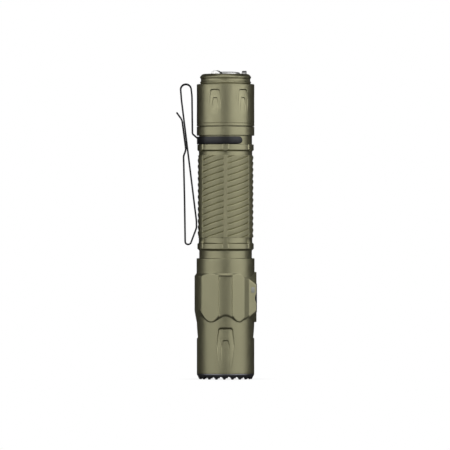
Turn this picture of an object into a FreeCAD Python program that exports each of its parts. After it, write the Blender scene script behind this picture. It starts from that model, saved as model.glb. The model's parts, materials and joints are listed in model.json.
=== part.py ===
import FreeCAD, Part
import math
import os

# A compact two-switch tactical flashlight, standing on its strike bezel.
# The tube's axis is Z, the crown of bezel teeth is at z = 0 and the tail button is at the top.
# -Y is the front of the light, the side switch is on +X and the pocket clip on -X. Millimetres.

os.makedirs("parts", exist_ok=True)

# Heights along the axis
TOOTH_H = 1.0           # depth of the scallops in the bezel's edge
BEZEL_TOP = 3.0         # seam between bezel and head
BARREL_TOP = 25.7       # end of the round barrel, start of the collar
COLLAR_TOP = 48.3       # end of the switch boss
NECK_TOP = 54.5         # seam between head and tube
RING2_Z = (59.1, 60.9)  # lower knuckle ring
GRIP_Z = (63.8, 100.9)  # textured grip
RING1_Z = (103.65, 105.8)
CLIP_GROOVE_Z = (105.8, 109.8)
FLANGE_TOP = 113.8      # tube flange that the tail cap closes on
CAP_BOTTOM = 113.95
CAP_STEP = 133.0        # top of the tail cap's full diameter
BOSS_TOP = 137.6
BUTTON_TOP = 138.6
SWITCH_Z = 36.6         # centre height of the side switch

# Radii
BEZEL_R = 12.95
BARREL_R = 12.97
COLLAR_R = 14.0
FLAT_APOTHEM = 13.2     # flats milled on the collar
CROWN = 0.02            # bulge of the collar's sloping ends
FLUTE_R = 13.5          # floor of the flutes between the flats
NECK_R = 13.08
TUBE_R = 11.88          # bare tube
RELIEF_R = 12.05        # reliefs beside the grip
GRIP_R = 12.6
GRIP_FLOOR_R = 12.12
RING_R = 12.72
LUG_R = 12.93
CLIP_GROOVE_R = 11.95
CAP_R = 13.0
BOSS_R = 11.5

# Cell and the bore it lies in
CELL_R = 10.75
CELL_BORE_R = 11.0
CELL_BOTTOM = 47.4
CELL_TOP = 118.0

# Threads and seals at both ends of the tube
THREAD_R = 11.9
THREAD_BORE_R = 12.0
THREAD_PITCH = 1.0
THREAD_DEPTH = 0.35
SEAL_LAND_R = 12.05
SEAL_BORE_R = 12.15
SEAL_GROOVE_R = 11.35
TUBE_BOTTOM = 47.0
TUBE_TOP = 121.2

# Grip pattern
PANELS = 6
PANEL_STRIP_HALF = 4.8  # degrees, half of a plain strip between two panels
BAND_PITCH = 2.73
BAND_STARTS = 9         # bands that wind round the grip side by side
BAND_RISE = math.degrees(math.atan(BAND_STARTS * BAND_PITCH / (2 * math.pi * GRIP_R)))
BAND_PHASE = 0.51       # height of the lowest groove over the grip's lower end, on the front
BAND_GROOVE = 0.95      # width of a groove between bands

# Clip
CLIP_T = 0.75
CLIP_WIDTH = 7.0
CLIP_BAND_T = 0.9
CLIP_BAND_Z = (105.95, 109.35)
CLIP_OPENING = 96.0     # degrees, gap in the clip's spring band

# Side switch boss
BOSS_ROOT_X = 8.5        # where the boss starts, at the edge of the flats
BOSS_FACE_X = 13.95
BOSS_HALF_Y = 6.07
PANE_DEPTH = 0.6        # indicator window in the boss's front flank
PANE_Z = 40.3
SIDE_BUTTON_R = 5.2
LEAD_X = 5.5             # the two leads between the LED board and the driver

FRONT = -90.0           # direction of -Y, in degrees from +X
FULL = 360.0


def vec(x, y, z):
    return FreeCAD.Vector(x, y, z)


def save(name, shape):
    """Write one sub-part; several separate solids stay a compound."""
    solids = shape.Solids
    result = solids[0] if len(solids) == 1 else Part.makeCompound(solids)
    if not result.isValid():
        print("not valid:", name)
    result.exportStep("parts/%s.step" % name)


def turned(points, angle=FULL):
    """Solid of revolution about Z from (radius, height) points."""
    outline = Part.makePolygon([vec(r, 0, z) for r, z in points] + [vec(points[0][0], 0, points[0][1])])
    return Part.Face(outline).revolve(vec(0, 0, 0), vec(0, 0, 1), angle)


def crowned(points):
    """Solid of revolution about Z from (radius, height) points, with its sloping sides bulged by CROWN."""
    edges = []
    for (r0, z0), (r1, z1) in zip(points, points[1:] + points[:1]):
        start = vec(r0, 0, z0)
        end = vec(r1, 0, z1)
        if r0 == r1 or z0 == z1:
            edges.append(Part.makeLine(start, end))
            continue
        outward = vec(z1 - z0, 0, r0 - r1).normalize()
        curve = Part.BezierCurve()
        curve.setPoles([start, (start + end) / 2 + outward * 2 * CROWN, end])
        edges.append(curve.toShape())
    return Part.Face(Part.Wire(edges)).revolve(vec(0, 0, 0), vec(0, 0, 1), FULL)


def disc(radius, z_low, z_high):
    return Part.makeCylinder(radius, z_high - z_low, vec(0, 0, z_low))


def ring(r_out, r_in, z_low, z_high):
    return disc(r_out, z_low, z_high).cut(disc(r_in, z_low - 1, z_high + 1))


def rod_x(radius, x_low, x_high, y=0.0, z=SWITCH_Z):
    """Cylinder along X."""
    return Part.makeCylinder(radius, x_high - x_low, vec(x_low, y, z), vec(1, 0, 0))


def block(x, y, z):
    """Box from three (low, high) pairs."""
    return Part.makeBox(x[1] - x[0], y[1] - y[0], z[1] - z[0], vec(x[0], y[0], z[0]))


def spun(shape, degrees):
    """Copy of a shape turned about Z."""
    return shape.rotated(vec(0, 0, 0), vec(0, 0, 1), degrees)


def around(shape, count, start=0.0):
    """Equally spaced copies about Z, the first one turned by start."""
    return [spun(shape, start + FULL * i / count) for i in range(count)]


def sector(r_out, r_in, z_low, z_high, middle, half_angle):
    """Part of a ring, half_angle degrees to each side of middle."""
    wedge = Part.makeCylinder(r_out, z_high - z_low, vec(0, 0, z_low), vec(0, 0, 1), 2 * half_angle)
    return spun(wedge.cut(disc(r_in, z_low - 1, z_high + 1)), middle - half_angle)


def prism_z(points, z_low, z_high):
    outline = Part.makePolygon([vec(x, y, z_low) for x, y in points] + [vec(points[0][0], points[0][1], z_low)])
    return Part.Face(outline).extrude(vec(0, 0, z_high - z_low))


def pocket(profile, outline):
    """
    Cutter for a pocket on +X. The profile gives its floor as (radius, height) points, which closes
    outside the part, and the outline gives its edge as (tangential, height) points.
    """
    reach = 30.0
    edge = Part.makePolygon([vec(0, t, z) for t, z in outline + outline[:1]])
    return turned(profile).common(Part.Face(edge).extrude(vec(reach, 0, 0)))


def mirrored(half):
    """Full pocket outline from its right half, listed from top to bottom."""
    return half + [(-t, z) for t, z in reversed(half)]


def thread_grooves(r_crest, z_low, z_high):
    """Ring grooves that stand for a 60 degree thread."""
    half = THREAD_PITCH * 0.54
    clear = 0.2
    count = int((z_high - z_low) / THREAD_PITCH)
    grooves = []
    for i in range(count):
        z = z_low + THREAD_PITCH * (i + 0.5)
        grooves.append(turned([(r_crest - THREAD_DEPTH, z), (r_crest + clear, z - half),
                               (r_crest + clear, z + half)]))
    return grooves


def make_strike_bezel():
    """Crowned ring, screwed into the head; the scallops leave small teeth between them."""
    body = turned([(11.3, 0), (11.9, 0), (12.3, 0.9), (12.82, 2.0), (BEZEL_R, 2.6), (BEZEL_R, BEZEL_TOP),
                   (12.2, BEZEL_TOP), (12.2, 7.2), (11.6, 7.2), (11.6, 3.3), (10.6, 3.3), (10.6, 2.6)])
    teeth = 20
    tooth_turn = -2.5
    scallop_r = 1.45
    first = FRONT + tooth_turn + FULL / teeth / 2
    scallop = rod_x(scallop_r, 9.0, 14.0, 0.0, TOOTH_H - scallop_r)
    save("strike_bezel", body.cut(around(scallop, teeth, first)))


def make_front_optics():
    save("lens_window", turned([(0, 3.3), (11.2, 3.3), (11.5, 3.6), (11.5, 5.1), (0, 5.1)]))
    save("window_gasket", Part.makeTorus(11.0, 0.4, vec(0, 0, 5.5), vec(0, 0, 1)))
    shape = turned([(0, 5.9), (11.4, 5.9), (11.4, 7.4), (10.7, 7.4), (10.1, 9.2), (8.9, 11.6), (7.2, 13.8),
                    (5.0, 15.6), (3.9, 16.2), (2.6, 16.2), (2.5, 13.9), (0, 13.3)])
    save("optic", shape)
    save("optic_holder", ring(4.7, 2.6, 16.3, 16.8))
    emitter = block((-1.75, 1.75), (-1.75, 1.75), (16.2, 16.8))
    dome = disc(1.5, 15.95, 16.2)
    save("led_emitter", emitter.fuse(dome))
    notch = disc(0.9, 16.0, 19.0)
    lead = disc(0.5, 16.3, 24.0)
    sides = [vec(-LEAD_X, 0, 0), vec(LEAD_X, 0, 0)]
    save("led_board", disc(10.0, 16.8, 18.0).cut([notch.translated(side) for side in sides]))
    save("led_leads", Part.makeCompound([lead.translated(side) for side in sides]))


def flat_y(x):
    """Distance from the XZ plane of the flat at 30 degrees, at a given x."""
    slope = math.radians(30.0)
    return (FLAT_APOTHEM - x * math.sin(slope)) / math.cos(slope)


def boss_section():
    """Switch boss on +X: the strip beside each flat, the flanks and the outer face."""
    strip_end = (10.6, 8.0)
    boss_corner = (BOSS_FACE_X, BOSS_HALF_Y)
    back = [boss_corner, strip_end, (BOSS_ROOT_X, flat_y(BOSS_ROOT_X))]
    front = [(x, -y) for x, y in reversed(back)]
    return front + back


def make_collar():
    """Milled collar of the head, before the bores."""
    envelope = crowned([(0, BARREL_TOP), (13.0, BARREL_TOP), (13.2, 26.2), (13.45, 28.0), (COLLAR_R, 30.2),
                        (COLLAR_R, 46.5), (NECK_R, 47.8), (0, 47.8)])
    length = 80.0
    for middle in (-30.0, 30.0, 150.0, 210.0):
        outside = block((FLAT_APOTHEM, 40), (-length / 2, length / 2), (20, 60))
        envelope = envelope.cut(spun(outside, FRONT + middle))
    envelope = envelope.cut(block((BOSS_ROOT_X, 40), (-20, 20), (20, 60)))
    collar = envelope.fuse(prism_z(boss_section(), BARREL_TOP, COLLAR_TOP))
    # The boss's four corners are cut off by sloping planes that also trim the flats beside it.
    normal = vec(0.70, 0.56, 0.43)
    point = vec(BOSS_FACE_X, BOSS_HALF_Y + 0.1, SWITCH_Z + 5.6)
    for y_sign in (-1, 1):
        for z_sign in (-1, 1):
            direction = vec(normal.x, normal.y * y_sign, normal.z * z_sign)
            through = vec(point.x, point.y * y_sign, SWITCH_Z + (point.z - SWITCH_Z) * z_sign)
            plane_side = Part.makeCylinder(30.0, 20.0, through, direction)
            collar = collar.cut(plane_side)
    flute_half = math.degrees(math.asin(3.0 / FLUTE_R))
    for middle in (FRONT, -FRONT):
        collar = collar.cut(sector(16.0, FLUTE_R, BARREL_TOP - 1, 46.7, middle, flute_half))
    return collar


def barrel_pockets():
    """Sculpted pockets of the barrel: a deep arch front and back, a shallow scoop on each side."""
    arch = pocket([(12.25, 23.4), (14.0, 23.4), (14.0, 4.4), (12.99, 4.4), (12.7, 15.0)],
                  mirrored([(1.9, 23.4), (2.7, 23.0), (3.0, 22.2), (3.95, 15.0), (2.7, 4.4)]))
    inner = pocket([(11.85, 17.6), (14.0, 17.6), (14.0, 3.4), (12.9, 3.4)],
                   mirrored([(0.9, 17.6), (1.25, 17.2), (1.85, 14.0), (1.6, 3.4)]))
    scoop = pocket([(12.99, 25.2), (14.0, 25.2), (14.0, 18.5), (12.5, 18.5)],
                   mirrored([(2.4, 25.2), (3.7, 21.0), (3.3, 19.0), (2.6, 18.5)]))
    cutters = []
    for middle in (FRONT, -FRONT):
        cutters += [spun(arch, middle), spun(inner, middle)]
    return cutters + [spun(scoop, 0), spun(scoop, 180)]


def make_head_housing():
    barrel = disc(BARREL_R, BEZEL_TOP, BARREL_TOP + 4.0)
    neck = turned([(0, 45.0), (NECK_R, 45.0), (NECK_R, NECK_TOP - 0.3), (NECK_R - 0.3, NECK_TOP), (0, NECK_TOP)])
    body = barrel.fuse([make_collar(), neck])
    body = body.cut(barrel_pockets())
    # Front: bezel thread, window and optic. Back: electronics, contact board and tube thread.
    bores = [disc(12.25, 2.0, 7.4), disc(10.9, 7.0, 18.0), disc(10.9, 22.5, 43.6),
             disc(THREAD_BORE_R, 43.6, 52.6), disc(SEAL_BORE_R, 52.5, 56.0)]
    for x in (-LEAD_X, LEAD_X):
        bores.append(disc(0.95, 17.0, 23.0).translated(vec(x, 0, 0)))
    # Side switch: counterbore for the ring and the seal, then a hole for the button's stem.
    bores.append(rod_x(6.5, 11.3, 16.0))
    bores.append(rod_x(4.0, 6.0, 12.0))
    bores.append(indicator(0.0))
    save("head_housing", body.cut(bores).removeSplitter())


def indicator(extra):
    """Small light window on the front flank of the switch boss."""
    across = 0.9 - extra
    up = 1.3 - extra
    pane = block((-PANE_DEPTH, 0.0), (-across, across), (-up, up))
    flank_normal = FRONT + 30.0
    return spun(pane, flank_normal).translated(vec(12.36, -7.13, PANE_Z))


def make_head_inside():
    save("driver_board", disc(10.8, 24.0, 25.6))
    parts = [disc(3.0, 25.6, 29.6).translated(vec(-4.5, 3.0, 0)),
             block((-2.5, 2.5), (-8.5, -4.5), (25.6, 27.2)),
             block((-8.0, -4.5), (-5.5, -2.5), (25.6, 27.0)),
             block((-1.0, 1.6), (3.5, 7.5), (25.6, 27.4)),
             disc(1.6, 25.6, 30.5).translated(vec(3.0, 2.0, 0))]
    save("driver_components", Part.makeCompound(parts))
    save("contact_board", disc(11.8, 43.6, 45.0))
    save("contact_ring", ring(THREAD_R, 9.6, 45.0, 46.4))
    save("head_contact", turned([(0, 45.0), (3.2, 45.0), (3.2, 45.8), (2.4, 46.2), (2.4, 47.1), (2.1, 47.3),
                                 (0, 47.3)]))
    save("indicator_window", indicator(0.03))


def make_side_switch():
    bore = rod_x(SIDE_BUTTON_R + 0.06, 12.0, 15.0).fuse(rod_x(5.98, 11.0, 12.7))
    save("side_button_ring", rod_x(6.45, 11.8, 14.15).cut(bore))
    cap = rod_x(SIDE_BUTTON_R, 12.5, 14.05)
    dish_r = 32.0
    dish = Part.makeSphere(dish_r, vec(BOSS_FACE_X - 0.15 + dish_r, 0, SWITCH_Z))
    flange = rod_x(5.9, 12.05, 12.62)
    stem = rod_x(1.5, 10.35, 12.1)
    save("side_button", cap.cut(dish).fuse([flange, stem]).removeSplitter())
    seal = rod_x(6.4, 11.35, 11.75).cut(rod_x(1.55, 11.0, 12.0))
    save("side_button_seal", seal)
    save("side_switch_board", block((6.6, 7.6), (-5.0, 5.0), (30.0, 42.6)))
    body = block((7.6, 9.2), (-2.4, 2.4), (SWITCH_Z - 2.4, SWITCH_Z + 2.4))
    save("side_switch", body.cut(rod_x(1.25, 8.2, 9.5)))
    save("side_switch_plunger", rod_x(1.18, 9.05, 10.35))


def grip_panel(phase):
    """Sloping grooves of one grip panel, on +X: tilted slabs kept inside the panel's outline."""
    half_angle = 180.0 / PANELS - PANEL_STRIP_HALF
    margin = 0.25
    panel = sector(GRIP_R + 0.5, GRIP_FLOOR_R, GRIP_Z[0] + margin, GRIP_Z[1] - margin, 0.0, half_angle)
    count = int((GRIP_Z[1] - GRIP_Z[0]) / BAND_PITCH) + 3
    slabs = []
    for i in range(count):
        slab = block((0, 20), (-9, 9), (-BAND_GROOVE / 2, BAND_GROOVE / 2))
        z = GRIP_Z[0] + phase + BAND_PITCH * (i - 1)
        slabs.append(slab.rotated(vec(0, 0, 0), vec(1, 0, 0), BAND_RISE).translated(vec(0, 0, z)))
    return panel.common(Part.makeCompound(slabs))


def grip_grooves():
    """Grooves of all panels; each band goes on across the plain strips from panel to panel."""
    step = BAND_STARTS * BAND_PITCH / PANELS
    grooves = []
    for i in range(PANELS):
        phase = (BAND_PHASE + step * (i + 0.5)) % BAND_PITCH
        grooves += spun(grip_panel(phase), FRONT + FULL * (i + 0.5) / PANELS).Solids
    return grooves


def knuckle_ring(z_low, z_high, lug_low, lug_high):
    """Ring with a raised lug in line with each plain strip of the grip."""
    body = turned([(11.5, z_low - 1.1), (RELIEF_R, z_low - 1.1), (RING_R, z_low), (RING_R, z_high),
                   (RELIEF_R, z_high + 0.9), (11.5, z_high + 0.9)])
    lug_half = math.degrees(1.35 / LUG_R)
    lug = sector(LUG_R, 11.5, lug_low, lug_high, 0.0, lug_half)
    return body.fuse(around(lug, PANELS, FRONT))


def make_battery_tube():
    body = turned([(CELL_BORE_R, TUBE_BOTTOM), (THREAD_R, TUBE_BOTTOM), (THREAD_R, 52.4), (SEAL_LAND_R, 52.7),
                   (SEAL_LAND_R, NECK_TOP), (TUBE_R, NECK_TOP + 0.1), (TUBE_R, 58.0), (RELIEF_R, 58.0),
                   (RELIEF_R, GRIP_Z[0]), (GRIP_R, GRIP_Z[0] + 0.25), (GRIP_R, GRIP_Z[1] - 0.25),
                   (RELIEF_R, GRIP_Z[1]), (RELIEF_R, 104.5), (RING_R, 104.5), (RING_R, CLIP_GROOVE_Z[0]),
                   (CLIP_GROOVE_R, CLIP_GROOVE_Z[0]), (CLIP_GROOVE_R, CLIP_GROOVE_Z[1]),
                   (CAP_R, CLIP_GROOVE_Z[1]), (CAP_R, FLANGE_TOP), (SEAL_LAND_R, FLANGE_TOP),
                   (SEAL_LAND_R, 117.2), (THREAD_R, 117.4), (THREAD_R, TUBE_TOP), (CELL_BORE_R, TUBE_TOP)])
    lower = knuckle_ring(RING2_Z[0], RING2_Z[1], RING2_Z[0] - 0.5, RING2_Z[1] + 0.2)
    upper = knuckle_ring(RING1_Z[0] + 0.4, RING1_Z[1] - 0.9, RING1_Z[0] - 0.7, RING1_Z[1])
    bore = disc(CELL_BORE_R, 40, 130)
    body = body.fuse([lower, upper]).cut(bore)
    seals = [ring(14.0, SEAL_GROOVE_R, 53.0, 54.1), ring(14.0, SEAL_GROOVE_R, 115.0, 116.1)]
    threads = thread_grooves(THREAD_R, 47.2, 52.3) + thread_grooves(THREAD_R, 117.5, 121.1)
    body = body.cut(seals + threads)
    save("battery_tube", body.cut(grip_grooves()))
    save("head_o_ring", Part.makeTorus(11.75, 0.38, vec(0, 0, 53.55), vec(0, 0, 1)))
    save("tail_o_ring", Part.makeTorus(11.73, 0.37, vec(0, 0, 115.55), vec(0, 0, 1)))


def make_battery():
    wrap_t = 0.15
    can_r = CELL_R - wrap_t
    save("battery_can", turned([(0, CELL_BOTTOM + 0.8), (can_r - 1.2, CELL_BOTTOM + 0.8),
                                (can_r - 1.2, CELL_BOTTOM + 0.3), (can_r - 0.3, CELL_BOTTOM + 0.3),
                                (can_r, CELL_BOTTOM + 0.6), (can_r, CELL_BOTTOM + 3.4),
                                (can_r - 0.9, CELL_BOTTOM + 4.0), (can_r, CELL_BOTTOM + 4.6),
                                (can_r, CELL_TOP - 0.3), (can_r - 0.3, CELL_TOP), (0, CELL_TOP)]))
    save("battery_wrap", turned([(can_r, CELL_BOTTOM + 0.6), (CELL_R, CELL_BOTTOM + 0.6),
                                 (CELL_R, CELL_TOP - 0.35), (can_r, CELL_TOP - 0.35)]))
    save("battery_insulator", ring(can_r - 1.2, 4.4, CELL_BOTTOM + 0.45, CELL_BOTTOM + 0.8))
    save("battery_positive", turned([(0, CELL_BOTTOM), (3.4, CELL_BOTTOM), (3.8, CELL_BOTTOM + 0.3),
                                     (4.3, CELL_BOTTOM + 0.8), (0, CELL_BOTTOM + 0.8)]))


def cap_pockets():
    """Six nested finger pockets round the tail cap."""
    outer = pocket([(12.55, 130.5), (14.0, 130.5), (14.0, 119.6), (13.02, 119.6)],
                   mirrored([(1.5, 130.5), (2.15, 129.8), (2.65, 125.5), (2.3, 119.6)]))
    inner = pocket([(12.25, 126.8), (14.0, 126.8), (14.0, 119.2), (12.95, 119.2)],
                   mirrored([(0.7, 126.8), (0.95, 126.4), (1.5, 123.5), (1.3, 119.2)]))
    start = FRONT - 21.8
    return around(outer, PANELS, start) + around(inner, PANELS, start)


def make_tail_cap():
    body = turned([(0, CAP_BOTTOM), (12.85, CAP_BOTTOM), (CAP_R, 114.4), (CAP_R, CAP_STEP - 0.35),
                   (12.65, CAP_STEP), (11.2, CAP_STEP), (11.2, 133.2), (BOSS_R, 133.5), (BOSS_R, 134.0),
                   (11.15, 134.4), (11.15, 135.4), (BOSS_R, 135.8), (BOSS_R, 136.3), (11.2, 136.75),
                   (10.7, 137.3), (10.0, BOSS_TOP), (0, BOSS_TOP)])
    bores = [disc(SEAL_BORE_R, 113.0, 117.4), disc(THREAD_BORE_R, 117.3, 124.0), disc(11.3, 123.9, 131.8),
             disc(9.6, 131.7, 140.0)]
    save("tail_cap", body.cut(bores).cut(cap_pockets()).removeSplitter())


def make_tail_guard():
    """Steel ring round the tail button, with three rounded guards."""
    body = turned([(7.7, 131.1), (11.2, 131.1), (11.2, 131.75), (9.55, 131.75), (9.55, 137.3), (9.3, 137.55),
                   (6.8, 137.55), (6.55, 137.3), (6.55, 134.5), (7.7, 134.5)])
    hump_r = 2.9
    guard_top = 139.05
    hump = rod_x(hump_r, 7.5, 9.5, 0.0, guard_top - hump_r)
    band = ring(9.5, 7.5, 136.5, 140.0)
    humps = [band.common(piece) for piece in around(hump, 3, 0.0)]
    save("tail_guard", body.fuse(humps).removeSplitter())


def coil(r_low, r_high, wire_r, z_low, z_high, turns):
    """Conical compression spring as one swept solid."""
    pitch = (z_high - z_low) / turns
    angle = math.degrees(math.atan((r_high - r_low) / (z_high - z_low)))
    path = Part.makeHelix(pitch, z_high - z_low, r_low, angle)
    start = path.Vertexes[0].Point
    section = Part.Wire([Part.makeCircle(wire_r, start, vec(0, 1, 0))])
    spring = Part.Wire(path.Edges).makePipeShell([section], True, True)
    return spring.translated(vec(0, 0, z_low))


def make_tail_inside():
    save("tail_ring", ring(THREAD_R, 9.8, 121.4, 122.6))
    save("tail_board", disc(THREAD_R, 122.6, 123.95))
    wire_r = 0.4
    top_gap = wire_r + 0.02
    save("tail_spring", coil(3.6, 5.2, wire_r, CELL_TOP + 0.15 + wire_r, 122.6 - top_gap, 3.5))
    save("switch_sleeve", ring(11.2, 8.2, 123.95, 130.3))
    housing = block((-4.6, 4.6), (-4.6, 4.6), (123.95, 129.3))
    save("tail_switch", housing.cut(disc(1.9, 126.8, 130.0)))
    save("tail_button_seal", turned([(0, 130.4), (11.2, 130.4), (11.2, 131.0), (0, 131.0)]))
    head = turned([(0, 133.7), (7.5, 133.7), (7.5, 134.42), (6.48, 134.42), (6.48, 138.1), (5.9, 138.45),
                   (4.0, 138.58), (0, BUTTON_TOP)])
    save("tail_button", head.fuse(disc(2.0, 131.1, 133.7)).removeSplitter())
    save("tail_switch_plunger", disc(1.82, 128.2, 130.3))


def bends(points, radii):
    """Tangent arc at each corner of a path: its two ends, the run into it, its side, radius and turn."""
    corners = []
    for i, radius in enumerate(radii):
        before, here, after = [vec(x, 0, z) for x, z in points[i:i + 3]]
        inward = (here - before).normalize()
        outward = (after - here).normalize()
        turn = inward.getAngle(outward)
        setback = radius * math.tan(turn / 2)
        side = 1.0 if inward.cross(outward).y > 0 else -1.0
        corners.append((here - inward * setback, here + outward * setback, inward, side, radius, turn))
    return corners


def sideways(direction):
    return vec(direction.z, 0, -direction.x)


def strip_side(points, corners, offset):
    """Edges of one side of a bent strip: straight runs and arcs, offset from its middle line."""
    start = vec(points[0][0], 0, points[0][1])
    last = vec(points[-1][0], 0, points[-1][1])
    point = start + sideways(corners[0][2]) * offset
    edges = []
    for arc_start, arc_end, inward, side, radius, turn in corners:
        centre = arc_start + sideways(inward) * (radius * side)
        corner_in = arc_start + sideways(inward) * offset
        edges.append(Part.makeLine(point, corner_in))
        axis = vec(0, 1, 0) * side
        whole = FreeCAD.Rotation(axis, math.degrees(turn))
        half = FreeCAD.Rotation(axis, math.degrees(turn) / 2)
        spoke = corner_in - centre
        point = centre + whole.multVec(spoke)
        edges.append(Part.Arc(corner_in, centre + half.multVec(spoke), point).toShape())
    end_direction = (last - corners[-1][1]).normalize()
    edges.append(Part.makeLine(point, last + sideways(end_direction) * offset))
    return edges


def rounded_strip(points, radii, thickness):
    """Face of a bent strip in the XZ plane."""
    corners = bends(points, radii)
    left = strip_side(points, corners, thickness / 2)
    right = strip_side(points, corners, -thickness / 2)
    caps = [Part.makeLine(left[0].Vertexes[0].Point, right[0].Vertexes[0].Point),
            Part.makeLine(left[-1].Vertexes[-1].Point, right[-1].Vertexes[-1].Point)]
    return Part.Face(Part.Wire(Part.__sortEdges__(left + right + caps)))


def make_pocket_clip():
    """One strip of spring steel: band, tall loop, inner arm, low loop and outer arm with a flared tip."""
    points = [(-12.5, 106.4), (-12.5, 108.5), (-14.95, 110.6), (-15.15, 127.5), (-15.75, 132.95),
              (-20.45, 132.95), (-19.9, 125.9), (-13.13, 71.3), (-13.12, 68.2), (-15.9, 60.75),
              (-18.2, 60.75), (-18.5, 80.8), (-18.95, 100.5), (-17.9, 103.5), (-19.65, 116.9),
              (-22.1, 120.3)]
    radii = [0.6, 1.2, 20.0, 2.2, 2.1, 12.0, 12.0, 3.0, 1.35, 1.3, 60.0, 2.0, 3.0, 4.0]
    strip = rounded_strip(points, radii, CLIP_T).extrude(vec(0, CLIP_WIDTH, 0))
    strip = strip.translated(vec(0, -CLIP_WIDTH / 2, 0))
    half = CLIP_WIDTH / 2
    tip_half = 2.3
    view = [(-half, 60), (-half, 116.5), (-tip_half, 119.2), (-tip_half, 120.6), (-half, 122.5), (-half, 134),
            (half, 134), (half, 122.5), (tip_half, 120.6), (tip_half, 119.2), (half, 116.5), (half, 60)]
    outer_arm = Part.Face(Part.makePolygon([vec(0, y, z) for y, z in view + view[:1]])).extrude(vec(-30, 0, 0))
    keep = outer_arm.fuse(block((-19.4, 0), (-half, half), (60, 134)))
    slot = block((-19.6, -17.7), (-1.1, 1.1), (78.0, 98.0))
    round_ends = [Part.makeCylinder(1.1, 1.9, vec(-19.6, 0, z), vec(1, 0, 0)) for z in (78.0, 98.0)]
    strip = strip.common(keep).cut([slot] + round_ends)
    band_in = CLIP_GROOVE_R + 0.1
    band_half = (FULL - CLIP_OPENING) / 2
    band = sector(band_in + CLIP_BAND_T, band_in, CLIP_BAND_Z[0], CLIP_BAND_Z[1], 180.0, band_half)
    strip = strip.cut(disc(band_in, 100, 112))
    save("pocket_clip", band.fuse(strip).removeSplitter())


make_strike_bezel()
make_front_optics()
make_head_housing()
make_head_inside()
make_side_switch()
make_battery_tube()
make_battery()
make_tail_cap()
make_tail_guard()
make_tail_inside()
make_pocket_clip()
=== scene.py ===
import json
import math

import bpy
import numpy as np
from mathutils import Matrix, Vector


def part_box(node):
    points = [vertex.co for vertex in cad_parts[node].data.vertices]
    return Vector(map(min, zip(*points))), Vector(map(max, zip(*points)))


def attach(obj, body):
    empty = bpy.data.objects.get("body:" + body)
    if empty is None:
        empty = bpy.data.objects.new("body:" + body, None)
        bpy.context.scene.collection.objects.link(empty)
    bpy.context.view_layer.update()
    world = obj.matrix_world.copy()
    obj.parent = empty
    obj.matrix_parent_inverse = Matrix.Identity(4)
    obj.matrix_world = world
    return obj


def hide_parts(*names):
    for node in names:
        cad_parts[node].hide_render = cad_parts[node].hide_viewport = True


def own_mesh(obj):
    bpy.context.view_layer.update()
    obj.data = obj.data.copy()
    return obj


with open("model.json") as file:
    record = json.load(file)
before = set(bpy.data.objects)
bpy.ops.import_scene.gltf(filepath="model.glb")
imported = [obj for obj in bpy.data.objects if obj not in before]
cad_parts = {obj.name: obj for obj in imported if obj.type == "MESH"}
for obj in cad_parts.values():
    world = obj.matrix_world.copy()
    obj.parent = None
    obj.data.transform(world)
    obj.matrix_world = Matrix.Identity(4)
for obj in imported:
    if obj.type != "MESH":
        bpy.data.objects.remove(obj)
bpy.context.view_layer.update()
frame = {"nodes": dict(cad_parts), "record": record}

# A tactical flashlight standing on its strike bezel. The tube's axis is Z, -Y is the front,
# the side switch is on +X and the pocket clip on -X. Lengths are millimetres until a mesh is made.
MM = 0.001
TURN = 2 * math.pi
FRONT = -math.pi / 2
BACK = math.pi / 2
FAR = 99.0


def span(node):
    """Lowest and highest corner of a CAD node."""
    low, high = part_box(node)
    return np.array(low) / MM, np.array(high) / MM


# Heights and radii read from the frame
HEAD_LOW, HEAD_HIGH = span("head_housing")[0][2], span("head_housing")[1][2]
TUBE_LOW, TUBE_HIGH = span("battery_tube")[0][2], span("battery_tube")[1][2]
CAP_LOW, CAP_HIGH = span("tail_cap")[0][2], span("tail_cap")[1][2]
CAP_R = span("tail_cap")[1][1]
BEZEL_R = span("strike_bezel")[1][1]
GUARD_LOW, GUARD_HIGH = span("tail_guard")[0][2], span("tail_guard")[1][2]
BUTTON_HIGH = span("tail_button")[1][2]
SEAM_Z = HEAD_LOW - 0.5
SWITCH_Z = (span("side_button")[0][2] + span("side_button")[1][2]) / 2
PANE = (span("indicator_window")[0] + span("indicator_window")[1]) / 2

# Head
BARREL_R = 12.97
BARREL_TOP = 25.7
COLLAR_R = 14.0
FLAT_APOTHEM = 13.2
FLUTE_R = 13.3
FLUTE_HALF = 3.0
BOSS_FACE_X = 13.95
BOSS_HALF_Y = 6.07
BOSS_TOP_Z = 48.3
COLLAR_TOP = 47.8
NECK_R = 13.08

# Tube
CELL_BORE_R = 11.0
TUBE_R = 11.88
RELIEF_R = 12.05
GRIP_R = 12.6
GRIP_Z = (63.8, 100.9)
PANELS = 6
BAND_PITCH = 2.73
BAND_STARTS = 9
BAND_PHASE = 0.51
MICRO_GROOVES = 136
RING_R = 12.72
LUG_R = 12.95
CLIP_GROOVE_R = 11.95
THREAD_R = 11.9
THREAD_PITCH = 1.0


# ---------------------------------------------------------------- shape helpers

def step(value):
    """Smooth step from 0 to 1."""
    value = np.clip(value, 0.0, 1.0)
    return value * value * (3 - 2 * value)


def soft_min(a, b, blend):
    """Lower of two surfaces, with the edge where they cross rounded over."""
    near = np.maximum(blend - np.abs(a - b), 0.0) / blend
    return np.minimum(a, b) - near * near * blend / 4


def soft_max(a, b, blend):
    return -soft_min(-a, -b, blend)


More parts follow.
